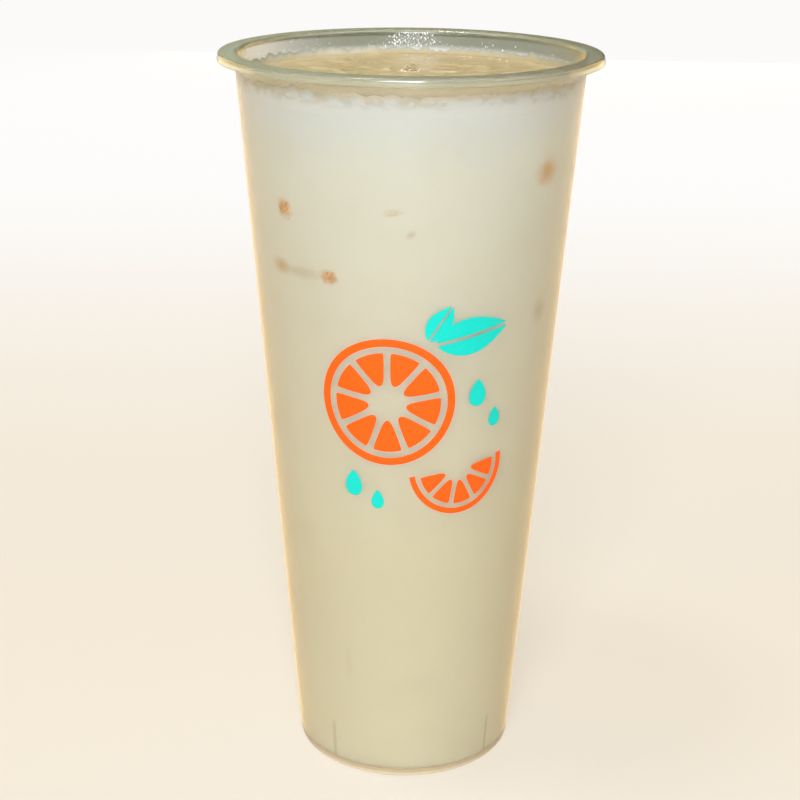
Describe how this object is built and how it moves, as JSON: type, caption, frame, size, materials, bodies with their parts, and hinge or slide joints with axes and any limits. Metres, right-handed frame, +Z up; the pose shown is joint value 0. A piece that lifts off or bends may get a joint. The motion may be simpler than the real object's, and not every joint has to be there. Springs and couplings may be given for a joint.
{
  "type": "fruit refresher",
  "caption": "Tall tapered frosted plastic cup, open and without a lid, filled to just under its flat rim with a creamy fruit drink under a thin rippled froth.",
  "frame": {"origin": "middle of the foot ring's underside, where the cup stands", "axes": "+Z up along the cup's axis, -Y towards the drinker, where the printed sign is, +X to the drinker's right"},
  "size_m": [0.09, 0.09, 0.177],
  "materials": {
    "cup": "frosted translucent polypropylene with a soft sheen",
    "drink": "opaque creamy liquid, ivory with a pale yellow cast",
    "froth": "wet fine froth, light tan"
  },
  "bodies": {
    "root": {"cup": "cup", "drink": "drink", "froth": "froth"}
  },
  "joints": []
}
